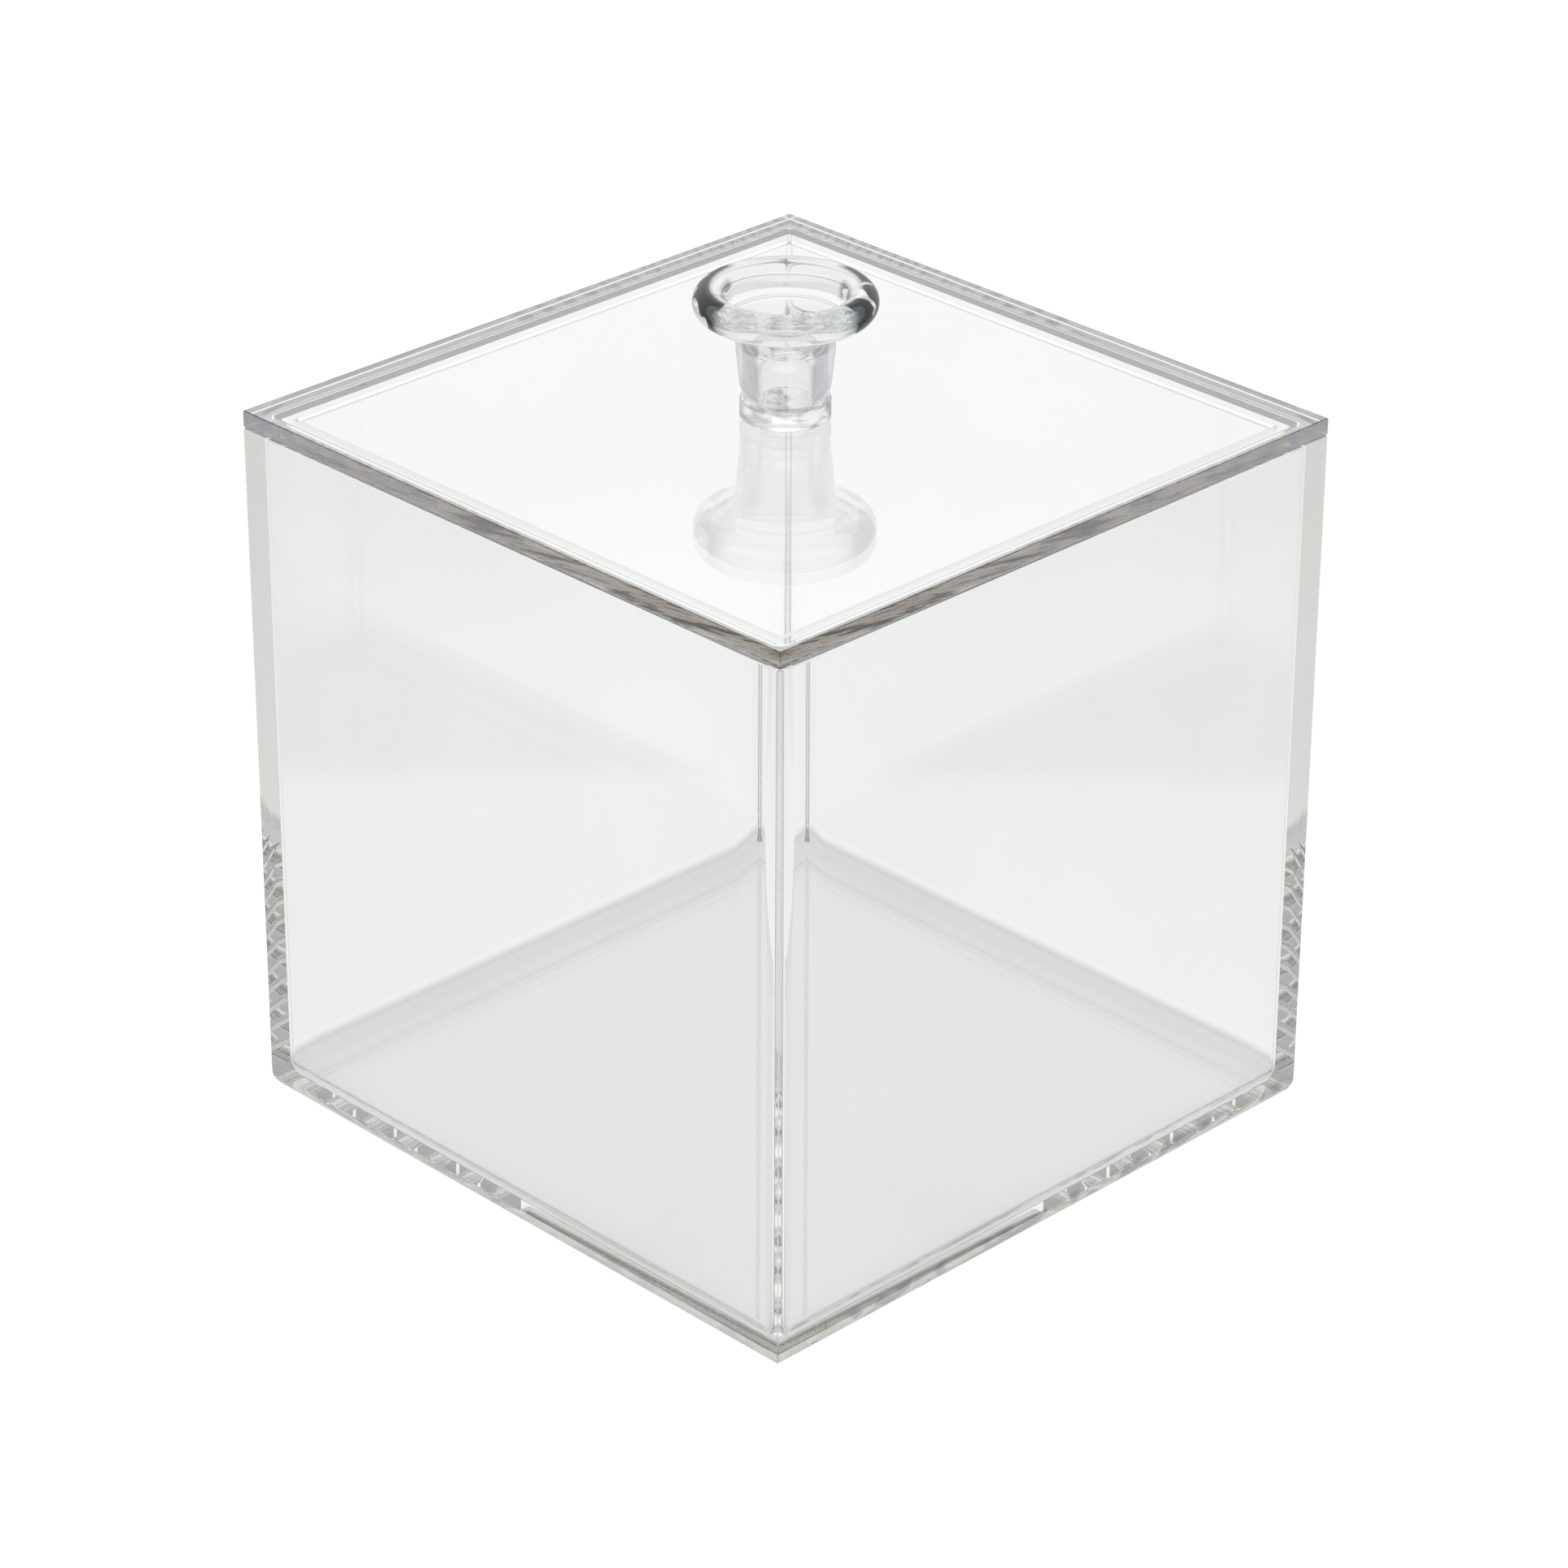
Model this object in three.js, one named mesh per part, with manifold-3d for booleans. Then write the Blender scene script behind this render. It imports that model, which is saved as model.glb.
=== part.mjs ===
// Clear acrylic display cube: a moulded five-sided box, a loose flat lid with a shallow
// locating ring under it, and a hollow pull knob bonded to the middle of the lid.
// Millimetres, +Z up, origin at the centre of the box's underside.
import * as THREE from 'three';
import { mergeVertices } from 'three/addons/utils/BufferGeometryUtils.js';
import Module from 'manifold-3d';

// box
const BOX_SIDE = 101.6;
const BOX_HEIGHT = 101.6;
const WALL = 2.3;
const FLOOR = 2.8;
const OUTER_BOTTOM_RADIUS = 3.0;
const INNER_CORNER_RADIUS = 1.4;
const INNER_BOTTOM_RADIUS = 3.0;
const RIM_BEVEL = 0.35;

// lid, with the ring that keeps it centred in the box
const LID_THICKNESS = 2.4;
const LID_BEVEL = 0.2;
const RING_CLEARANCE = 0.3;
const RING_WIDTH = 1.9;
const RING_DEPTH = 1.4;
const RING_INNER_RADIUS = 0.6;

// knob outside, heights measured from the top of the lid
const BASE_RADIUS = 6.1;
const BASE_HEIGHT = 2.6;
const BASE_BEVEL = 0.15;
const GROOVE_RADIUS = 5.6;
const GROOVE_SLOPE = 0.2;
const GROOVE_TOP = 3.1;
const NECK_LOW_RADIUS = 6.15;
const NECK_LOW_HEIGHT = 4.6;
const NECK_SHOULDER = 0.8;
const NECK_HIGH_RADIUS = 6.6;
const NECK_HIGH_HEIGHT = 9.6;
const FLARE_POWER = 2.4;

// knob's rolled rim and the funnel inside it
const ROLL_CENTRE_RADIUS = 10.15;
const ROLL_CENTRE_HEIGHT = 16.1;
const ROLL_RADIUS = 2.15;
const ROLL_FROM = -0.62 * Math.PI;
const ROLL_TO = 1.06 * Math.PI;
const MOUTH_RADIUS = 7.1;
const MOUTH_HEIGHT = 14.6;
const FUNNEL_POWER = 1.6;
const BORE_HIGH_RADIUS = 3.7;
const BORE_HIGH_HEIGHT = 9.2;
const BORE_LOW_RADIUS = 3.45;
const BORE_FLOOR = 1.3;
const BORE_FLOOR_BEVEL = 0.5;

// fineness of the round stretches
const CORNER_STEPS = 8;
const CURVE_STEPS = 10;
const ROLL_STEPS = 28;
const KNOB_SIDES = 64;
const WELD_DISTANCE = 1e-5;

// clear acrylic, and the slightly darker look of the lid's sawn edges
const ACRYLIC = 0xf2f5f3;
const SAWN_ACRYLIC = 0xe6e8e2;
const POLISH_ROUGHNESS = 0.05;
const SEE_THROUGH_OPACITY = 0.3;

const wasm = await Module();
wasm.setup();

function toSolid(geometry) {
  const bare = geometry.clone();
  bare.deleteAttribute('normal');
  bare.deleteAttribute('uv');
  const welded = mergeVertices(bare, WELD_DISTANCE);
  return new wasm.Manifold(new wasm.Mesh({
    numProp: 3,
    vertProperties: new Float32Array(welded.attributes.position.array),
    triVerts: new Uint32Array(welded.index.array),
  }));
}

function toGeometry(solid) {
  const mesh = solid.getMesh();
  const geometry = new THREE.BufferGeometry();
  geometry.setAttribute('position', new THREE.BufferAttribute(mesh.vertProperties, 3));
  geometry.setIndex(new THREE.BufferAttribute(mesh.triVerts, 1));
  geometry.computeVertexNormals();
  return geometry;
}

// Square outline with rounded corners, centred on the origin.
function roundedSquare(side, radius) {
  const h = side / 2;
  const shape = new THREE.Shape();
  shape.moveTo(-h + radius, -h);
  shape.lineTo(h - radius, -h);
  shape.absarc(h - radius, -h + radius, radius, -Math.PI / 2, 0);
  shape.lineTo(h, h - radius);
  shape.absarc(h - radius, h - radius, radius, 0, Math.PI / 2);
  shape.lineTo(-h + radius, h);
  shape.absarc(-h + radius, h - radius, radius, Math.PI / 2, Math.PI);
  shape.lineTo(-h, -h + radius);
  shape.absarc(-h + radius, -h + radius, radius, Math.PI, 1.5 * Math.PI);
  return shape;
}

// Upright section, flat on top, with its two lower corners rounded.
function tubProfile(width, bottom, top, radius) {
  const h = width / 2;
  const shape = new THREE.Shape();
  shape.moveTo(h, top);
  shape.lineTo(-h, top);
  shape.lineTo(-h, bottom + radius);
  shape.absarc(-h + radius, bottom + radius, radius, Math.PI, 1.5 * Math.PI);
  shape.lineTo(h - radius, bottom);
  shape.absarc(h - radius, bottom + radius, radius, 1.5 * Math.PI, 2 * Math.PI);
  return shape;
}

function extrude(shape, depth) {
  return new THREE.ExtrudeGeometry(shape, { depth, bevelEnabled: false, curveSegments: CORNER_STEPS });
}

// The same upright section swept along X and along Y, and only what both share.
function tub(width, bottom, top, radius) {
  const profile = tubProfile(width, bottom, top, radius);
  const alongY = extrude(profile, width);
  alongY.rotateX(Math.PI / 2);
  alongY.translate(0, width / 2, 0);
  const alongX = alongY.clone();
  alongX.rotateZ(Math.PI / 2);
  return toSolid(alongY).intersect(toSolid(alongX));
}

// Square plate with a small bevel round its top and bottom edges.
function bevelledPlate(side, bottom, top, bevel) {
  const inner = new THREE.Shape();
  const h = side / 2 - bevel;
  inner.moveTo(-h, -h);
  inner.lineTo(h, -h);
  inner.lineTo(h, h);
  inner.lineTo(-h, h);
  const plate = new THREE.ExtrudeGeometry(inner, {
    depth: top - bottom - 2 * bevel,
    bevelEnabled: true,
    bevelThickness: bevel,
    bevelSize: bevel,
    bevelSegments: 1,
  });
  plate.translate(0, 0, bottom + bevel);
  return toSolid(plate);
}

function boxShell() {
  const outside = tub(BOX_SIDE, 0, BOX_HEIGHT, OUTER_BOTTOM_RADIUS);
  const bevelled = bevelledPlate(BOX_SIDE, -RIM_BEVEL, BOX_HEIGHT, RIM_BEVEL);
  const innerSide = BOX_SIDE - 2 * WALL;
  const above = BOX_HEIGHT + WALL;
  const shaft = extrude(roundedSquare(innerSide, INNER_CORNER_RADIUS), above);
  const hollow = tub(innerSide, FLOOR, above, INNER_BOTTOM_RADIUS).intersect(toSolid(shaft));
  return outside.intersect(bevelled).subtract(hollow);
}

function lidPlate() {
  const plate = bevelledPlate(BOX_SIDE, BOX_HEIGHT, BOX_HEIGHT + LID_THICKNESS, LID_BEVEL);
  const ringSide = BOX_SIDE - 2 * (WALL + RING_CLEARANCE);
  const outline = roundedSquare(ringSide, INNER_CORNER_RADIUS - RING_CLEARANCE);
  outline.holes.push(roundedSquare(ringSide - 2 * RING_WIDTH, RING_INNER_RADIUS));
  const ring = extrude(outline, RING_DEPTH + LID_BEVEL);
  ring.translate(0, 0, BOX_HEIGHT - RING_DEPTH);
  return plate.add(toSolid(ring));
}

// Points of a curve that widens upward from one radius to another, slowly at first.
function flare(rLow, zLow, rHigh, zHigh, power) {
  const points = [];
  for (let i = 1; i <= CURVE_STEPS; i += 1) {
    const t = i / CURVE_STEPS;
    points.push(new THREE.Vector2(rLow + (rHigh - rLow) * t ** power, zLow + (zHigh - zLow) * t));
  }
  return points;
}

// The rolled rim, from its underside round the outside and over the top to the mouth.
function rolledRim() {
  const points = [];
  for (let i = 0; i <= ROLL_STEPS; i += 1) {
    const angle = ROLL_FROM + ((ROLL_TO - ROLL_FROM) * i) / ROLL_STEPS;
    points.push(new THREE.Vector2(
      ROLL_CENTRE_RADIUS + ROLL_RADIUS * Math.cos(angle),
      ROLL_CENTRE_HEIGHT + ROLL_RADIUS * Math.sin(angle),
    ));
  }
  return points;
}

function knobProfile() {
  const at = (radius, height) => new THREE.Vector2(radius, height);
  const rim = rolledRim();
  const underRim = rim[0];
  const neck = flare(NECK_HIGH_RADIUS, NECK_HIGH_HEIGHT, underRim.x, underRim.y, FLARE_POWER);
  const funnel = flare(BORE_HIGH_RADIUS, BORE_HIGH_HEIGHT, MOUTH_RADIUS, MOUTH_HEIGHT, FUNNEL_POWER);
  return [
    at(0, 0),
    at(BASE_RADIUS - BASE_BEVEL, 0),
    at(BASE_RADIUS, BASE_BEVEL),
    at(BASE_RADIUS, BASE_HEIGHT - GROOVE_SLOPE),
    at(GROOVE_RADIUS, BASE_HEIGHT),
    at(GROOVE_RADIUS, GROOVE_TOP),
    at(NECK_LOW_RADIUS - BASE_BEVEL, NECK_LOW_HEIGHT - NECK_SHOULDER),
    at(NECK_LOW_RADIUS, NECK_LOW_HEIGHT),
    at(NECK_HIGH_RADIUS, NECK_HIGH_HEIGHT),
    ...neck,
    ...rim.slice(1),
    ...funnel.reverse(),
    at(BORE_HIGH_RADIUS, BORE_HIGH_HEIGHT),
    at(BORE_LOW_RADIUS, BORE_FLOOR + BORE_FLOOR_BEVEL),
    at(BORE_LOW_RADIUS - BORE_FLOOR_BEVEL, BORE_FLOOR),
    at(0, BORE_FLOOR),
  ];
}

function knob() {
  const turned = new THREE.LatheGeometry(knobProfile(), KNOB_SIDES);
  turned.rotateX(Math.PI / 2);
  turned.translate(0, 0, BOX_HEIGHT + LID_THICKNESS);
  return turned;
}

function addPiece(parent, name, geometry, colour) {
  const material = new THREE.MeshStandardMaterial({
    color: colour,
    roughness: POLISH_ROUGHNESS,
    metalness: 0,
    transparent: true,
    opacity: SEE_THROUGH_OPACITY,
  });
  const mesh = new THREE.Mesh(geometry, material);
  mesh.name = name;
  parent.add(mesh);
}

const group = new THREE.Group();
group.name = 'acrylic_display_cube';
addPiece(group, 'box_shell', toGeometry(boxShell()), ACRYLIC);
addPiece(group, 'lid_plate', toGeometry(lidPlate()), SAWN_ACRYLIC);
addPiece(group, 'pull_knob', knob(), ACRYLIC);

export default group;
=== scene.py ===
import math

import bpy
from mathutils import Matrix, Vector


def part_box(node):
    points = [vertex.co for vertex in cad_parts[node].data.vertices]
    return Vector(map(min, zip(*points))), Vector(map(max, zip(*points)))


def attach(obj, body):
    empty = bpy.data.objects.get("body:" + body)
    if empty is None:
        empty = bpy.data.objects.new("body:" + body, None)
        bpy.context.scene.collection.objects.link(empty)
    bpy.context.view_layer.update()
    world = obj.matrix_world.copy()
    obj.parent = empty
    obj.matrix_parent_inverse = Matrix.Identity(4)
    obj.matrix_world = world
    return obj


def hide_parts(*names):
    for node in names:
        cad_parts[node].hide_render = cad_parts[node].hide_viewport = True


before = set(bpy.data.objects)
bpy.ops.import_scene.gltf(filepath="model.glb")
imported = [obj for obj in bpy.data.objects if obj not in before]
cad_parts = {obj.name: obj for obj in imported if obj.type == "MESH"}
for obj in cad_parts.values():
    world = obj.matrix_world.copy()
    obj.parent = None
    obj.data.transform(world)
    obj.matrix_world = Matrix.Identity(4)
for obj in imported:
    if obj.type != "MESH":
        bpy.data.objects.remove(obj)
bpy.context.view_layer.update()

# The looks of a clear acrylic display cube: a moulded box, a loose lid and a hollow pull knob.
# Each piece is rebuilt here with true round edges and exact normals, because clear acrylic
# shows every facet. Sizes and places are in millimetres until a mesh or a node is made.
MM = 0.001
BOX_LOW, BOX_HIGH = [Vector(corner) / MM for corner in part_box("box_shell")]
LID_LOW, LID_HIGH = [Vector(corner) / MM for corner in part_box("lid_plate")]
KNOB_LOW, _ = [Vector(corner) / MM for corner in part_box("pull_knob")]
HALF = BOX_HIGH.x
RIM_Z = BOX_HIGH.z
LID_TOP_Z = LID_HIGH.z
RING_Z = LID_LOW.z

# box and lid
WALL = 2.3
FLOOR = 2.8
OUTER_BOTTOM_RADIUS = 3.0
INNER_CORNER_RADIUS = 1.4
INNER_BOTTOM_RADIUS = 3.0
FLOOR_CORNER_RADIUS = 0.1
RIM_RADIUS = 0.4
UPRIGHT_EDGE_RADIUS = 0.12
LID_EDGE_RADIUS = 0.2
RING_CLEARANCE = 0.3
RING_WIDTH = 1.9
RING_INNER_RADIUS = 0.6
RING_MATT_WIDTH = 0.85
AIR_GAP = 0.02
ROUND_STEPS = 10
EDGE_STEPS = 4

# the walls swell slowly towards the upright corners inside: how far from the corner it starts,
# how fast it grows with the square of the way, and in how many steps
SWELL_RUN = 5.3
SWELL_RATE = 0.0027
SWELL_STEPS = 5

# knob: points of its outline (radius, height above the lid), which smooth lines pass through,
# and the rolled rim between flare and bore, which is an arc from one angle to another in degrees
KNOB_SIDES = 160
FOOT = ((5.95, 0.0), (6.06, 0.05), (6.1, 0.15), (6.1, 1.0), (6.1, 2.35), (6.04, 2.5), (5.9, 2.6))
NECK = ((5.55, 2.6), (5.6, 3.0), (5.85, 3.7), (6.1, 4.5), (6.2, 5.4), (6.6, 9.4))
FLARE = ((6.6, 9.4), (6.72, 11.0), (7.15, 12.6), (8.1, 13.7))
BORE = ((7.5, 14.9), (6.7, 13.6), (5.4, 12.0), (4.3, 10.4), (3.75, 9.0), (3.6, 7.0), (3.45, 2.2))
BORE_FOOT = ((3.4, 1.75), (3.2, 1.45), (2.9, 1.3))
ROLL_CENTRE = (10.15, 16.1)
ROLL_RADIUS = 2.15
ROLL_FROM = -105
ROLL_TO = 190
ROLL_STEPS = 44
NECK_STEPS = 6
FLARE_STEPS = 8
BORE_STEPS = 8

# material slots within a piece
CLEAR, MATT, SAWN = 0, 1, 2

# acrylic: how much light it takes up for each metre, red, green and blue; the two colours that its
# tint drifts between; how deep its waves are; how rough its hairlines are and where in the noise
# they start
ACRYLIC_IOR = 1.49
BOX_LOSS = (2.4, 2.3, 2.6)
LID_LOSS = (3.2, 3.3, 3.4)
KNOB_LOSS = (2.0, 1.6, 1.5)
BOX_TINT = ((0.95, 0.957, 0.95), (0.97, 0.973, 0.97))
LID_TINT = ((0.985, 0.99, 0.985), (0.995, 1.0, 0.99))
KNOB_TINT = ((0.975, 0.98, 0.98), (0.99, 0.99, 0.99))
BOX_WAVES = 0.006
LID_WAVES = 0.004
KNOB_WAVES = 0.002
HAIRLINE_ROUGHNESS = 0.03
KNOB_HAIRLINE_ROUGHNESS = 0.006
HAIRLINES = (0.66, 0.76)

# noise: how many waves it has in each metre along x, y and z, and the stretches of its 0 to 1 that
# a tint and a roughness change over
DRIFT_SCALE = (30, 30, 30)
WAVE_SCALE = (45, 45, 25)
HAIRLINE_SCALE = (90, 2600, 2600)
GRAIN_SCALE = (300, 300, 300)
REFLECTION_DASH_SCALE = (230, 230, 320)
SPECK_SCALE = (260, 260, 300)
WINDOW_SCALE = (260, 260, 330)
FOOT_SHADE_SCALE = (300, 300, 600)
TINT_FROM, TINT_TO = 0.35, 0.65
ROUGHNESS_OVER = (0.3, 0.7)

# edges left as they were cut: the outside of the lid's ring and the tops of the box's walls
RING_TINT = ((0.58, 0.56, 0.68), (0.7, 0.68, 0.78))
RIM_TINT = ((0.64, 0.64, 0.69), (0.76, 0.76, 0.78))
GRAIN_DEPTH = 0.004
GRAIN_ROUGHNESS = (0.02, 0.07)

# painted reflections in short dashes round the bottom of the box: where they fade out, inside its
# outside faces and above its underside, how far in from a side they belong to it, and how strong they
# are on the -X side
REFLECTION_DASH_DEPTH = (2.2, 1.6)
REFLECTION_DASH_HEIGHT = (3.4, 4.2)
REFLECTION_DASH_SIDE = (0.8, 3.8)
LEFT_REFLECTION_DASHES = 0.4
REFLECTION_DASH_COLOURS = (
    (0.42, (0.44, 0.44, 0.46)), (0.47, (0.68, 0.66, 0.78)), (0.5, 1.0), (0.56, 1.0),
    (0.62, (0.88, 0.85, 0.74)),
)

# the lid's edges: the saw's streaks, whose dark and white colours are painted reflections, and a painted
# shade towards the top of the edge, which fade away from the front corner and give way to specks. The
# scale is along and across the streaks.
SAW_SLANT = 0.12
SAW_SCALE = (75, 1100)
SAW_DEPTH = 0.6
SAWN_ROUGHNESS = 0.03
STREAK_ROUGHNESS = 0.1
WEAR_AND_PAINTED_LIGHT = (-80, 4)
TOP_SHADE_HEIGHT = (0.5, 1.1)
TOP_SHADE_COLOUR = (0.5, 0.45, 0.36)
STREAK_AND_REFLECTION_COLOURS = (
    (0.43, (0.06, 0.05, 0.04)), (0.47, (0.4, 0.38, 0.33)), (0.5, (0.95, 0.93, 0.87)),
    (0.56, (1.0, 0.98, 0.92)),
)
SPECK_COLOURS = ((0.4, (0.62, 0.6, 0.76)), (0.52, (0.78, 0.76, 0.86)), (0.62, (0.94, 0.9, 0.82)))

# the knob's tints, which are painted shade standing in for the dark of a studio that isn't here. Radii
# are from its axis and heights above the lid, and a radius that points left or right is all aside (1).
# Clear windows open in the painted shade where the noise is over WINDOW. NECK_FACING, FOOT_OUTLINE and
# the colours of the middle and the ends go by how far the surface turns from the eye, up to 1 where it
# is edge on.
# The foot's grey blotches from a noise are painted shade too.
ROLL_OUTSIDE = (9.3, 10.2)
ROLL_OUTSIDE_ASIDE = (0.62, 0.78)
MOUTH_FROM = (7.6, 8.0)
MOUTH_TO = (8.3, 8.8)
MOUTH_ASIDE = (0.84, 0.92)
MOUTH_STRENGTH = 0.85
WINDOW = (0.58, 0.61)
NECK_HEIGHT_FROM = (3.2, 3.8)
NECK_HEIGHT_TO = (11.5, 13.5)
NECK_SIDE_FROM = (3.3, 3.8)
NECK_SIDE_TO = (5.4, 5.8)
NECK_SIDE_LEAST = 0.35
NECK_FACING = (0.2, 0.3)
NECK_SIDE_COLOUR = (0.42, 0.43, 0.47)
FOOT_HEIGHT = (2.6, 3.0)
FOOT_OUTLINE = (0.72, 0.86)
FOOT_OUTLINE_COLOUR = (0.08, 0.09, 0.09)
FOOT_COLOURS = ((0.38, (0.45, 0.46, 0.45)), (0.47, (0.82, 0.83, 0.82)), (0.6, (0.95, 0.96, 0.95)))
MIDDLE_COLOURS = ((0.62, 0.99), (0.78, (0.86, 0.89, 0.92)), (0.88, (0.25, 0.27, 0.3)), (1.0, 0.01))
END_COLOURS = ((0.12, 0.97), (0.24, (0.4, 0.44, 0.5)), (0.34, (0.03, 0.04, 0.04)), (0.42, 0.0))

# level directions away from the photo's camera and to its right
AWAY = (math.sqrt(0.5), math.sqrt(0.5), 0)
RIGHT = (math.sqrt(0.5), -math.sqrt(0.5), 0)

# table top, and the light that it gives: a painted shadow under and round the box by how far out a place
# is, with a bright painted line of light just outside it, less to both sides, a dimmer strip of painted
# shadow along the box's back sides, and a painted shade in front of it
TABLE_HALF = 6000
TABLE_DROP = 0.2
FLOOR_SEEN = 1.04
FLOOR_LIGHT = 0.96
SHADE_REACH = (40, 65)
SHADE_STOPS = (
    (0.0, 0.8), (0.2, 0.79), (0.62, 0.79), (0.72, 0.70), (0.775, 0.96), (0.8, 1.04), (0.84, 1.0),
)
SIDE_FALL = 220
SIDE_LEAST = 0.82
STRIP_WIDTH = (59.5, 63.5)
STRIP_FROM = (94, 106)
STRIP_TO = (140, 165)
STRIP_LEFT_OVER = 0.35
STRIP_LIGHT = 0.93
FAR_FROM = (140, 220)
FAR_LIGHT = 0.93
FRONT_FROM = (-20, -40)
FRONT_STOPS = ((0.2, 0.0), (0.4, 1.0), (0.6, 0.0))
FRONT_SHADE = 0.85

# room: its light from level and below (0) to straight above (1), first on the camera's side and then
# behind the box, where the one gives way to the other, and a panel of light behind the box, with its
# height and its soft edge in degrees
ROOM_SEEN = 1.0
ROOM_BEFORE = ((0.0, 0.86), (0.12, 0.84), (0.3, 0.55), (0.6, 0.55), (0.8, 0.95), (1.0, 1.1))
ROOM_BEHIND = ((0.0, 0.8), (0.25, 1.0))
BEHIND_FROM = (0.25, 0.6)
PANEL = 1.3
PANEL_RISE = 27
PANEL_EDGE = (13, 8)

# camera, fitted to the corners of the box and lid: angles in degrees, its distance, its shift to the
# right and up and the height of its aim in sides of the box, sensor and lens in millimetres
CAMERA_AZIMUTH = 45.4
CAMERA_ELEVATION = 27.42
CAMERA_ROLL = 0.243
CAMERA_DISTANCE = 7.518
CAMERA_SHIFT = (0.00016, -0.02744)
AIM_HEIGHT = 0.512
SENSOR_WIDTH = 36
FOCAL_LENGTH = 128.42


def metres(values):
    return [value * MM for value in values]


def angles_between(first, last, steps):
    """Evenly spaced angles in radians, from one to another that are in degrees."""
    return [math.radians(first + (last - first) * k / steps) for k in range(steps + 1)]


class Surface:
    """A closed mesh in the making, where each face's corner carries its own exact normal."""

    def __init__(self):
        self.places = {}
        self.points = []
        self.faces = []
        self.normals = []
        self.slots = []

    def vertex(self, point):
        key = tuple(round(c, 4) for c in point)
        if key not in self.places:
            self.places[key] = len(self.points)
            self.points.append(Vector(point) * MM)
        return self.places[key]

    def face(self, corners, slot=CLEAR):
        """Adds a face from (point, normal) corners, turned so that it faces along its normals."""
        kept = []
        for point, normal in corners:
            index = self.vertex(point)
            if not kept or (index != kept[-1][0] and index != kept[0][0]):
                kept.append((index, normal))
        if len(kept) < 3:
            return
        area = Vector()
        for (a, _), (b, _) in zip(kept, kept[1:] + kept[:1]):
            area += self.points[a].cross(self.points[b])
        if area.dot(sum((Vector(normal) for _, normal in kept), Vector())) < 0:
            kept.reverse()
        self.faces.append([index for index, _ in kept])
        self.normals.append([Vector(normal).normalized() for _, normal in kept])
        self.slots.append(slot)

    def mesh(self, name):
        mesh = bpy.data.meshes.new(name)
        mesh.from_pydata(self.points, [], self.faces)
        mesh.polygons.foreach_set("use_smooth", [True] * len(self.faces))
        mesh.polygons.foreach_set("material_index", self.slots)
        mesh.normals_split_custom_set([n for face in self.normals for n in face])
        mesh.update()
        return mesh


def square_loop(half, radius, swell=0.0):
    """Round-cornered square: (x, y) and the outward direction at each of its points. Each side bends
    slowly inward before its corner, at that rate."""
    lean = math.atan(2 * swell * SWELL_RUN)
    centre = half - swell * SWELL_RUN ** 2 - radius * math.cos(lean)
    quarter = []
    for step in range(SWELL_STEPS):
        way = SWELL_RUN * step / SWELL_STEPS
        angle = math.atan(2 * swell * way)
        y = centre + radius * math.sin(lean) - SWELL_RUN + way
        quarter.append((half - swell * way ** 2, y, angle))
    for step in range(ROUND_STEPS + 1):
        angle = lean + (math.radians(90) - 2 * lean) * step / ROUND_STEPS
        quarter.append((centre + radius * math.cos(angle), centre + radius * math.sin(angle), angle))
    for x, y, angle in reversed(quarter[:SWELL_STEPS]):
        quarter.append((y, x, math.radians(90) - angle))
    loop = []
    for turn in range(4):
        cos, sin = ((1, 0), (0, 1), (-1, 0), (0, -1))[turn]
        for x, y, angle in quarter:
            angle += math.radians(90) * turn
            loop.append(((x * cos - y * sin, x * sin + y * cos), (math.cos(angle), math.sin(angle))))
    return loop


class Loft:
    """A path of square loops joined by bands. A band's normal is (outward, up) at each end."""

    def __init__(self, half, radius, z):
        self.swell = 0.0
        self.surface = Surface()
        self.loop = (square_loop(half, radius), z)
        self.cap(-1)

    def cap(self, up):
        """Closes the path with a flat face that looks up (1) or down (-1)."""
        loop, z = self.loop
        self.surface.face([((x, y, z), (0, 0, up)) for (x, y), _ in loop])

    def to(self, half, radius, z, start, end=None, slot=CLEAR):
        """A band from the last loop to a new one."""
        end = end or start
        old, old_z = self.loop
        new = square_loop(half, radius, self.swell)
        count = len(new)

        def corner(loop, height, k, normal):
            (x, y), (out_x, out_y) = loop[k % count]
            return (x, y, height), (out_x * normal[0], out_y * normal[0], normal[1])

        for k in range(count):
            self.surface.face([
                corner(old, old_z, k, start),
                corner(old, old_z, k + 1, start),
                corner(new, z, k + 1, end),
                corner(new, z, k, end),
            ], slot)
        self.loop = (new, z)

    def turn(self, half, radius, z, size, first, last, steps, follow=0.0, slot=CLEAR):
        """A quarter round of that size about (half, z), from one angle to the other, in degrees.
        It is hollow if the size is negative. follow is how much the corner radius changes with the
        way out from half."""
        inward = -1 if size < 0 else 1
        size = abs(size)

        def normal(angle):
            return (inward * math.cos(angle), inward * math.sin(angle))

        angles = angles_between(first, last, steps)
        for before, angle in zip(angles, angles[1:]):
            out = size * math.cos(angle)
            self.to(
                half + out,
                radius + follow * out,
                z + size * math.sin(angle),
                normal(before),
                normal(angle),
                slot,
            )


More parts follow.
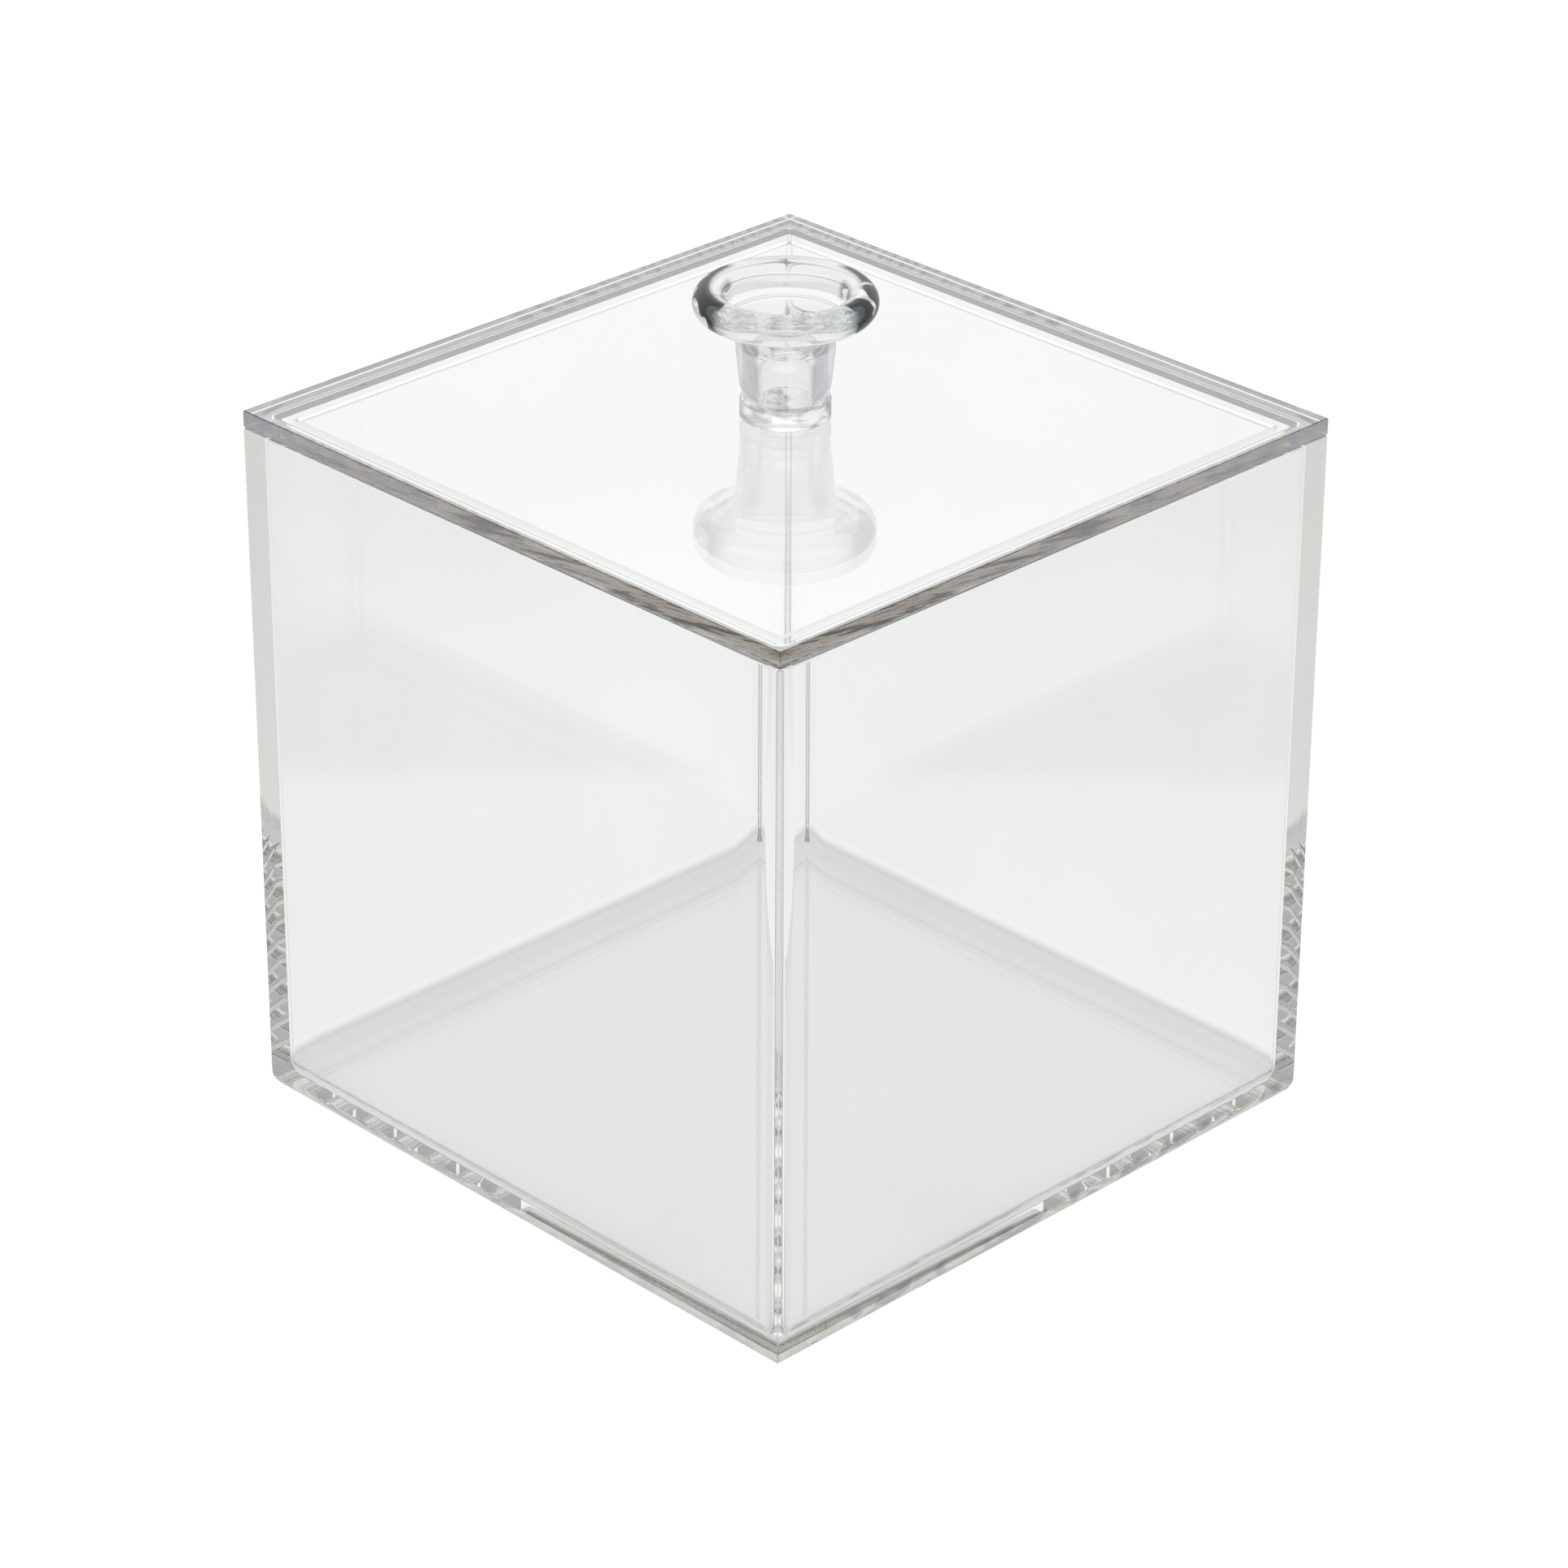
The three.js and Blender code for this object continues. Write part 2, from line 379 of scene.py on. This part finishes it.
def box_mesh():
    """Up the outside, over the rim and down the inside to the floor."""
    edge = UPRIGHT_EDGE_RADIUS
    big = OUTER_BOTTOM_RADIUS
    top = RIM_Z - AIR_GAP
    inner = HALF - WALL
    small = INNER_BOTTOM_RADIUS
    loft = Loft(HALF - big, edge, BOX_LOW.z)
    loft.turn(HALF - big, edge, big, big, -90, 0, ROUND_STEPS)
    loft.to(HALF, edge, top - RIM_RADIUS, (1, 0))
    loft.turn(HALF - RIM_RADIUS, edge, top - RIM_RADIUS, RIM_RADIUS, 0, 90, EDGE_STEPS)
    mouth = inner + RIM_RADIUS
    mouth_corner = INNER_CORNER_RADIUS + RIM_RADIUS
    loft.swell = SWELL_RATE
    loft.to(mouth, mouth_corner, top, (0, 1), slot=MATT)
    loft.turn(mouth, mouth_corner, top - RIM_RADIUS, RIM_RADIUS, 90, 180, EDGE_STEPS, follow=1)
    loft.to(inner, INNER_CORNER_RADIUS, FLOOR + small, (-1, 0))
    loft.turn(
        inner - small, FLOOR_CORNER_RADIUS, FLOOR + small, -small, 0, -90, ROUND_STEPS,
        follow=(INNER_CORNER_RADIUS - FLOOR_CORNER_RADIUS) / small,
    )
    loft.cap(1)
    return loft.surface.mesh("clear_box")


def lid_mesh():
    """From the plate's underside round the ring, out to the sawn edge and over the top."""
    edge = UPRIGHT_EDGE_RADIUS
    bevel = LID_EDGE_RADIUS
    ring_out = HALF - WALL - RING_CLEARANCE
    ring_in = ring_out - RING_WIDTH
    ring_corner = INNER_CORNER_RADIUS - RING_CLEARANCE
    loft = Loft(ring_in, RING_INNER_RADIUS, RIM_Z)
    loft.to(ring_in, RING_INNER_RADIUS, RING_Z, (-1, 0))
    loft.to(ring_out - RING_MATT_WIDTH, RING_INNER_RADIUS, RING_Z, (0, -1))
    loft.to(ring_out, ring_corner, RING_Z, (0, -1), slot=MATT)
    loft.to(ring_out, ring_corner, RIM_Z, (1, 0))
    loft.to(HALF - bevel, edge, RIM_Z, (0, -1))
    loft.turn(HALF - bevel, edge, RIM_Z + bevel, bevel, -90, 0, EDGE_STEPS)
    loft.to(HALF, edge, LID_TOP_Z - bevel, (1, 0), slot=SAWN)
    loft.turn(HALF - bevel, edge, LID_TOP_Z - bevel, bevel, 0, 90, EDGE_STEPS, slot=SAWN)
    loft.cap(1)
    return loft.surface.mesh("clear_lid")


def smooth_line(points, steps):
    """A Catmull-Rom line through the points."""
    line = []
    for k in range(len(points) - 1):
        before = points[max(k - 1, 0)]
        start, end = points[k], points[k + 1]
        after = points[min(k + 2, len(points) - 1)]
        for step in range(steps):
            t = step / steps
            line.append(tuple(
                0.5 * (
                    2 * s + (e - b) * t + (2 * b - 5 * s + 4 * e - a) * t * t
                    + (3 * s - b - 3 * e + a) * t ** 3
                )
                for b, s, e, a in zip(before, start, end, after)
            ))
    line.append(points[-1])
    return line


def with_normals(line):
    """(radius, height, outward, up) along a line, the normals square to it."""
    section = []
    for k, (radius, height) in enumerate(line):
        before = line[max(k - 1, 0)]
        after = line[min(k + 1, len(line) - 1)]
        run = (after[0] - before[0], after[1] - before[1])
        length = math.hypot(*run)
        section.append((radius, height, run[1] / length, -run[0] / length))
    return section


def knob_sections():
    """The knob's outline in smooth stretches (radius, height above the lid, outward, up)."""
    rim = [
        (ROLL_CENTRE[0] + ROLL_RADIUS * math.cos(angle), ROLL_CENTRE[1] + ROLL_RADIUS * math.sin(angle))
        for angle in angles_between(ROLL_FROM, ROLL_TO, ROLL_STEPS)
    ]
    line = [
        *smooth_line(NECK, NECK_STEPS)[:-1],
        *smooth_line((*FLARE, rim[0]), FLARE_STEPS)[:-1],
        *rim,
        *smooth_line((rim[-1], *BORE), BORE_STEPS)[1:],
        *BORE_FOOT,
    ]

    def flat(height, radius, end_radius, up):
        return [(radius, height, 0, up), (end_radius, height, 0, up)]

    return [
        flat(0, 0, FOOT[0][0], -1),
        with_normals(FOOT),
        flat(FOOT[-1][1], FOOT[-1][0], NECK[0][0], 1),
        with_normals(line),
        flat(BORE_FOOT[-1][1], BORE_FOOT[-1][0], 0, 1),
    ]


def knob_mesh():
    surface = Surface()
    angles = [2 * math.pi * k / KNOB_SIDES for k in range(KNOB_SIDES)]

    def corner(ring, angle):
        radius, height, out, up = ring
        x, y = math.cos(angle), math.sin(angle)
        return (radius * x, radius * y, KNOB_LOW.z + AIR_GAP + height), (out * x, out * y, up)

    for section in knob_sections():
        for low, high in zip(section, section[1:]):
            for a, b in zip(angles, angles[1:] + angles[:1]):
                surface.face([corner(low, a), corner(low, b), corner(high, b), corner(high, a)])
    return surface.mesh("clear_knob")


def rgba(colour):
    """A colour's four channels; a single number is a grey."""
    if isinstance(colour, (int, float)):
        colour = (colour,) * 3
    return (*colour, 1.0)


class Nodes:
    """Short hands for a node tree. A value is a number, a colour or the output of another node."""

    def __init__(self, tree):
        self.tree = tree

    def add(self, kind, **values):
        node = self.tree.nodes.new(kind)
        for name, value in values.items():
            setattr(node, name, value)
        return node

    def feed(self, value, socket):
        if isinstance(value, bpy.types.NodeSocket):
            self.tree.links.new(value, socket)
        else:
            socket.default_value = value

    def place(self):
        return self.add("ShaderNodeTexCoord").outputs["Object"]

    def scaled_place(self, scale):
        mapping = self.add("ShaderNodeMapping")
        self.feed(scale, mapping.inputs["Scale"])
        self.feed(self.place(), mapping.inputs["Vector"])
        return mapping.outputs["Vector"]

    def axes(self, vector):
        split = self.add("ShaderNodeSeparateXYZ")
        self.feed(vector, split.inputs["Vector"])
        return split.outputs["X"], split.outputs["Y"], split.outputs["Z"]

    def noise(self, vector, detail, roughness=0.5, distortion=0.0):
        noise = self.add("ShaderNodeTexNoise")
        self.feed(vector, noise.inputs["Vector"])
        self.feed(1.0, noise.inputs["Scale"])
        self.feed(detail, noise.inputs["Detail"])
        self.feed(roughness, noise.inputs["Roughness"])
        self.feed(distortion, noise.inputs["Distortion"])
        return noise.outputs["Fac"]

    def ramp(self, source, stops):
        """Colours that follow the source: each stop is a level of it and the colour there."""
        stops = list(stops)
        ramp = self.add("ShaderNodeValToRGB")
        elements = ramp.color_ramp.elements
        while len(elements) < len(stops):
            elements.new(1.0)
        for element, (position, colour) in zip(elements, stops):
            element.position = position
            element.color = rgba(colour)
        self.feed(source, ramp.inputs["Fac"])
        return ramp.outputs["Color"]

    def drifting(self, noise, tints):
        """Between two tints, as the noise says."""
        return self.ramp(noise, zip((TINT_FROM, TINT_TO), tints))

    def bump(self, height, depth):
        bump = self.add("ShaderNodeBump")
        self.feed(depth * MM, bump.inputs["Distance"])
        self.feed(1.0, bump.inputs["Strength"])
        self.feed(height, bump.inputs["Height"])
        return bump.outputs["Normal"]

    def math(self, operation, *values):
        node = self.add("ShaderNodeMath", operation=operation)
        for value, socket in zip(values, node.inputs):
            self.feed(value, socket)
        return node.outputs["Value"]

    def times(self, product, *others):
        for other in others:
            product = self.math("MULTIPLY", product, other)
        return product

    def dot(self, vector, direction):
        node = self.add("ShaderNodeVectorMath", operation="DOT_PRODUCT")
        self.feed(vector, node.inputs[0])
        self.feed(direction, node.inputs[1])
        return node.outputs["Value"]

    def reach(self, x, y):
        """The greater of two distances, whichever way they go."""
        return self.math("MAXIMUM", self.math("ABSOLUTE", x), self.math("ABSOLUTE", y))

    def span(self, value, bounds, start=0, end=1, smooth=False):
        """Goes from start to end while the value goes from one bound to the other."""
        node = self.add("ShaderNodeMapRange", interpolation_type="SMOOTHSTEP" if smooth else "LINEAR")
        self.feed(value, node.inputs["Value"])
        for name, number in zip(("From Min", "From Max", "To Min", "To Max"), (*bounds, start, end)):
            self.feed(number, node.inputs[name])
        return node.outputs["Result"]

    def mix(self, factor, a, b, blend="MIX"):
        node = self.add("ShaderNodeMix", data_type="RGBA", blend_type=blend)
        self.feed(factor, node.inputs["Factor"])
        for name, colour in (("A", a), ("B", b)):
            if not isinstance(colour, bpy.types.NodeSocket):
                colour = rgba(colour)
            self.feed(colour, node.inputs[name])
        return node.outputs["Result"]


def new_acrylic(name, loss):
    """A material that light passes through, losing a little on long ways."""
    material = bpy.data.materials.new(name)
    material.use_nodes = True
    nodes = Nodes(material.node_tree)
    shader = nodes.tree.nodes["Principled BSDF"]
    nodes.feed(1.0, shader.inputs["Transmission Weight"])
    nodes.feed(ACRYLIC_IOR, shader.inputs["IOR"])
    most = max(loss)
    volume = nodes.add("ShaderNodeVolumeAbsorption")
    nodes.feed(most, volume.inputs["Density"])
    nodes.feed(rgba([1 - share / most for share in loss]), volume.inputs["Color"])
    nodes.feed(volume.outputs["Volume"], nodes.tree.nodes["Material Output"].inputs["Volume"])
    return material, nodes, shader


def polished_acrylic(name, tints, waves, loss, scratched=HAIRLINE_ROUGHNESS):
    """Clear acrylic: the faint tint drifts, moulding leaves it slightly wavy, and hairlines dull it."""
    material, nodes, shader = new_acrylic(name, loss)
    drift = nodes.noise(nodes.scaled_place(DRIFT_SCALE), detail=2)
    nodes.feed(nodes.drifting(drift, tints), shader.inputs["Base Color"])
    hairline = nodes.noise(nodes.scaled_place(HAIRLINE_SCALE), detail=2)
    hairline = nodes.ramp(hairline, zip(HAIRLINES, (0.0, scratched)))
    nodes.feed(hairline, shader.inputs["Roughness"])
    wave = nodes.noise(nodes.scaled_place(WAVE_SCALE), detail=1)
    nodes.feed(nodes.bump(wave, waves), shader.inputs["Normal"])
    return material, nodes, shader


def tint(nodes, shader, colour, strength=1.0):
    """Multiplies the base colour by another."""
    base = shader.inputs["Base Color"]
    nodes.feed(nodes.mix(strength, base.links[0].from_socket, colour, "MULTIPLY"), base)


def box_acrylic():
    """The box: clear, with short dark, violet and yellow dashes of painted reflection along its rounded
    lower edges on the -Y side and fainter ones on the -X side."""
    material, nodes, shader = polished_acrylic("box_acrylic", BOX_TINT, BOX_WAVES, BOX_LOSS)
    x, y, z = nodes.axes(nodes.place())
    side = metres(inset - HALF for inset in REFLECTION_DASH_SIDE)
    reflection_dashed = nodes.times(
        nodes.span(nodes.reach(x, y), metres(HALF - depth for depth in REFLECTION_DASH_DEPTH)),
        nodes.span(z, metres(REFLECTION_DASH_HEIGHT), 1, 0),
        nodes.math("MAXIMUM", nodes.span(y, side, 1, 0), nodes.span(x, side, LEFT_REFLECTION_DASHES, 0)),
    )
    reflection_dashes = nodes.noise(nodes.scaled_place(REFLECTION_DASH_SCALE), detail=1, distortion=0.3)
    # the dashes are painted reflections, multiplied into the base colour along the box's lower edges
    tint(nodes, shader, nodes.ramp(reflection_dashes, REFLECTION_DASH_COLOURS), reflection_dashed)
    return material


def sawn_acrylic():
    """The lid's cut edges: long slanting streaks left by the saw, worst round the front corner, with
    painted reflections in their dark and white colours and painted shade towards the edge's top there,
    and speckles at the back."""
    material, nodes, shader = new_acrylic("sawn_acrylic", LID_LOSS)
    place = nodes.place()
    along = nodes.dot(place, (1, 1, 0))
    across = nodes.dot(place, (SAW_SLANT, SAW_SLANT, 1))
    wear_and_painted_light = nodes.span(along, metres(WEAR_AND_PAINTED_LIGHT), 1, 0)
    join = nodes.add("ShaderNodeCombineXYZ")
    for value, scale, axis in zip((along, across), SAW_SCALE, "XY"):
        nodes.feed(nodes.math("MULTIPLY", value, scale), join.inputs[axis])
    streaks = nodes.noise(join.outputs["Vector"], detail=6, roughness=0.68, distortion=0.5)
    specks = nodes.noise(nodes.scaled_place(SPECK_SCALE), detail=1)
    # painted reflections: the dark and white colours of the streaks, laid over the saw's marks
    saw_marks_and_reflections = nodes.mix(wear_and_painted_light, nodes.ramp(specks, SPECK_COLOURS), nodes.ramp(streaks, STREAK_AND_REFLECTION_COLOURS))
    nodes.feed(saw_marks_and_reflections, shader.inputs["Base Color"])
    _, _, z = nodes.axes(place)
    # painted shade: the edge darker and browner towards its top, near the front corner
    high = nodes.span(z, metres(RIM_Z + height for height in TOP_SHADE_HEIGHT))
    tint(nodes, shader, TOP_SHADE_COLOUR, nodes.times(high, wear_and_painted_light))
    dull = nodes.times(nodes.span(streaks, ROUGHNESS_OVER, 0.0, STREAK_ROUGHNESS), wear_and_painted_light)
    nodes.feed(nodes.math("ADD", dull, SAWN_ROUGHNESS), shader.inputs["Roughness"])
    nodes.feed(nodes.bump(nodes.times(streaks, wear_and_painted_light), SAW_DEPTH), shader.inputs["Normal"])
    return material


def matt_acrylic(name, tints):
    """Edges left as they were cut, with a fine grain."""
    material, nodes, shader = new_acrylic(name, LID_LOSS)
    grain = nodes.noise(nodes.scaled_place(GRAIN_SCALE), detail=4)
    nodes.feed(nodes.drifting(grain, tints), shader.inputs["Base Color"])
    nodes.feed(nodes.span(grain, ROUGHNESS_OVER, *GRAIN_ROUGHNESS), shader.inputs["Roughness"])
    nodes.feed(nodes.bump(grain, GRAIN_DEPTH), shader.inputs["Normal"])
    return material


def rim_ends(nodes, radius, aside):
    """Where the rolled rim is dark: its outside and a line inside its mouth, left and right as the
    photo shows the knob, broken by clear windows."""
    # the dark here is painted shade
    share = nodes.math("DIVIDE", aside, nodes.math("MAXIMUM", radius, MM))
    outside = nodes.times(
        nodes.span(radius, metres(ROLL_OUTSIDE), smooth=True),
        nodes.span(share, ROLL_OUTSIDE_ASIDE, smooth=True),
    )
    mouth = nodes.times(
        nodes.span(radius, metres(MOUTH_FROM)),
        nodes.span(radius, metres(MOUTH_TO), 1, 0),
        nodes.span(share, MOUTH_ASIDE, 0, MOUTH_STRENGTH, smooth=True),
    )
    blot = nodes.noise(nodes.scaled_place(WINDOW_SCALE), detail=0, distortion=0.4)
    window = nodes.span(blot, WINDOW, 1, 0, smooth=True)
    return nodes.times(nodes.math("MAXIMUM", outside, mouth), window)


def turned_acrylic():
    """The knob: as clear as the box, but with painted shade where its surface turns away from the eye,
    at the ends of its rim, down the sides of its neck and round its foot, and in grey blotches on its
    foot."""
    material, nodes, shader = polished_acrylic(
        "knob_acrylic", KNOB_TINT, KNOB_WAVES, KNOB_LOSS, KNOB_HAIRLINE_ROUGHNESS,
    )
    facing = nodes.add("ShaderNodeLayerWeight").outputs["Facing"]
    place = nodes.place()
    aside = nodes.math("ABSOLUTE", nodes.dot(place, RIGHT))
    x, y, z = nodes.axes(place)
    squares = [nodes.math("POWER", nodes.math("ABSOLUTE", value), 2.0) for value in (x, y)]
    radius = nodes.math("SQRT", nodes.math("ADD", *squares))
    up = nodes.math("SUBTRACT", z, KNOB_LOW.z * MM)

    # painted shade: the rim's middle darkens towards its outline, and its ends are darker still
    middle = nodes.ramp(facing, MIDDLE_COLOURS)
    painted_shade = nodes.mix(rim_ends(nodes, radius, aside), middle, nodes.ramp(facing, END_COLOURS))

    neck = nodes.times(
        nodes.span(up, metres(NECK_HEIGHT_FROM)),
        nodes.span(up, metres(NECK_HEIGHT_TO), 1, 0),
    )
    # painted shade down the sides of the neck
    neck_side = nodes.times(
        nodes.span(aside, metres(NECK_SIDE_FROM)),
        nodes.span(facing, NECK_FACING),
        nodes.span(aside, metres(NECK_SIDE_TO), 1, NECK_SIDE_LEAST),
    )
    painted_shade = nodes.mix(neck, painted_shade, nodes.mix(neck_side, middle, NECK_SIDE_COLOUR))

    # painted shade on the foot: grey blotches from a noise and a dark outline
    foot_blotches = nodes.noise(nodes.scaled_place(FOOT_SHADE_SCALE), detail=1, distortion=0.8)
    foot_shade = nodes.ramp(foot_blotches, FOOT_COLOURS)
    foot_shade = nodes.mix(nodes.span(facing, FOOT_OUTLINE), foot_shade, FOOT_OUTLINE_COLOUR)
    foot = nodes.span(up, metres(FOOT_HEIGHT), 1, 0)
    tint(nodes, shader, nodes.mix(foot, painted_shade, foot_shade))
    return material


def add_piece(mesh, body, node, materials):
    piece = bpy.data.objects.new(mesh.name, mesh)
    for material in materials:
        mesh.materials.append(material)
    bpy.context.scene.collection.objects.link(piece)
    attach(piece, body)
    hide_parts(node)


def build_object():
    wall = box_acrylic()
    sheet, _, _ = polished_acrylic("lid_acrylic", LID_TINT, LID_WAVES, LID_LOSS)
    turned = turned_acrylic()
    sawn = sawn_acrylic()
    ring = matt_acrylic("ring_acrylic", RING_TINT)
    rim = matt_acrylic("rim_acrylic", RIM_TINT)
    add_piece(box_mesh(), "box", "box_shell", [wall, rim])
    add_piece(lid_mesh(), "lid", "lid_plate", [sheet, ring, sawn])
    add_piece(knob_mesh(), "lid", "pull_knob", [turned])


def floor_light(nodes):
    """The light that the table top gives to all but the camera, with the box's shadow painted into it.
    """
    place = nodes.place()
    x, y, _ = nodes.axes(place)
    aside = nodes.math("ABSOLUTE", nodes.dot(place, RIGHT))
    behind = nodes.dot(place, AWAY)
    out = nodes.span(nodes.reach(x, y), metres(SHADE_REACH))

    fall = nodes.math("POWER", nodes.math("DIVIDE", aside, SIDE_FALL * MM), 2.0)
    fall = nodes.math("DIVIDE", 1.0, nodes.math("ADD", fall, 1.0))
    sides = nodes.span(fall, (0, 1), SIDE_LEAST, 1)
    # painted shadow: a dimmer strip along the box's back sides
    strip = nodes.times(
        nodes.span(nodes.math("MINIMUM", x, y), metres(STRIP_WIDTH), 1, 0, smooth=True),
        nodes.span(behind, metres(STRIP_FROM), smooth=True),
        nodes.span(behind, metres(STRIP_TO), 1, STRIP_LEFT_OVER, smooth=True),
    )
    strip = nodes.span(strip, (0, 1), 1, STRIP_LIGHT)
    far = nodes.span(behind, metres(FAR_FROM), 1, FAR_LIGHT, smooth=True)
    # painted shade in front of the box
    front = nodes.times(nodes.span(behind, metres(FRONT_FROM)), nodes.ramp(out, FRONT_STOPS))
    front = nodes.span(front, (0, 1), 1, FRONT_SHADE)
    # the shade stops paint the box's shadow under and round it, with a bright painted line just outside
    return nodes.times(sides, nodes.ramp(out, SHADE_STOPS), strip, far, front, FLOOR_LIGHT)


def build_floor():
    """A wide pale table top, which the camera sees evenly white."""
    mesh = bpy.data.meshes.new("table_top")
    corners = ((-1, -1), (1, -1), (1, 1), (-1, 1))
    points = [metres((x * TABLE_HALF, y * TABLE_HALF, BOX_LOW.z - TABLE_DROP)) for x, y in corners]
    mesh.from_pydata(points, [], [(0, 1, 2, 3)])
    table = bpy.data.objects.new("table_top", mesh)
    bpy.context.scene.collection.objects.link(table)
    material = bpy.data.materials.new("table_top")
    material.use_nodes = True
    nodes = Nodes(material.node_tree)
    level = nodes.add("ShaderNodeMix")
    nodes.feed(nodes.add("ShaderNodeLightPath").outputs["Is Camera Ray"], level.inputs["Factor"])
    nodes.feed(floor_light(nodes), level.inputs["A"])
    nodes.feed(FLOOR_SEEN, level.inputs["B"])
    glow = nodes.add("ShaderNodeEmission")
    nodes.feed(level.outputs["Result"], glow.inputs["Strength"])
    nodes.feed(glow.outputs["Emission"], nodes.tree.nodes["Material Output"].inputs["Surface"])
    mesh.materials.append(material)


def build_studio():
    """Soft light from all round, dimmer on the camera's side partway up, and a brighter panel behind
    and above the box. The camera sees it evenly white."""
    world = bpy.data.worlds.new("studio")
    bpy.context.scene.world = world
    world.use_nodes = True
    nodes = Nodes(world.node_tree)
    way = nodes.add("ShaderNodeTexCoord").outputs["Generated"]
    height = nodes.dot(way, (0, 0, 1))
    behind = nodes.span(nodes.dot(way, AWAY), BEHIND_FROM, smooth=True)
    room = nodes.mix(behind, nodes.ramp(height, ROOM_BEFORE), nodes.ramp(height, ROOM_BEHIND))
    rise = math.radians(PANEL_RISE)
    towards = nodes.dot(way, (math.cos(rise) * AWAY[0], math.cos(rise) * AWAY[1], math.sin(rise)))
    edge = [math.cos(math.radians(angle)) for angle in PANEL_EDGE]
    room = nodes.mix(nodes.span(towards, edge, smooth=True), room, PANEL)
    camera_ray = nodes.add("ShaderNodeLightPath").outputs["Is Camera Ray"]
    nodes.feed(nodes.mix(camera_ray, room, ROOM_SEEN), nodes.tree.nodes["Background"].inputs["Color"])


def build_camera():
    """A long lens above one upright edge, turned a hair from level."""
    side = 2 * HALF * MM
    azimuth, elevation, roll = [math.radians(a) for a in (CAMERA_AZIMUTH, CAMERA_ELEVATION, CAMERA_ROLL)]
    distance = CAMERA_DISTANCE * side
    shift_right, shift_up = [shift * side for shift in CAMERA_SHIFT]
    aim = Vector((0, 0, AIM_HEIGHT * side))
    forward = Vector((
        math.cos(elevation) * math.cos(azimuth),
        math.cos(elevation) * math.sin(azimuth),
        -math.sin(elevation),
    ))
    level = Vector((math.sin(azimuth), -math.cos(azimuth), 0))
    above = level.cross(forward)
    right = math.cos(roll) * level + math.sin(roll) * above
    up = math.cos(roll) * above - math.sin(roll) * level
    data = bpy.data.cameras.new("camera")
    data.sensor_width = SENSOR_WIDTH
    data.lens = FOCAL_LENGTH
    data.clip_start = 0.01
    data.clip_end = 50
    camera = bpy.data.objects.new("camera", data)
    bpy.context.scene.collection.objects.link(camera)
    turn = Matrix((right, up, -forward)).transposed().to_4x4()
    turn.translation = aim + shift_right * right + shift_up * up - distance * forward
    camera.matrix_world = turn
    bpy.context.scene.camera = camera


def set_render():
    """Enough bounces for light to zigzag through the edges."""
    scene = bpy.context.scene
    scene.view_settings.view_transform = "Standard"
    cycles = scene.cycles
    cycles.max_bounces = 128
    cycles.transmission_bounces = 64
    cycles.glossy_bounces = 128
    cycles.transparent_max_bounces = 16
    cycles.caustics_reflective = True
    cycles.caustics_refractive = True
    cycles.use_denoising = True


build_object()
build_floor()
build_studio()
build_camera()
set_render()
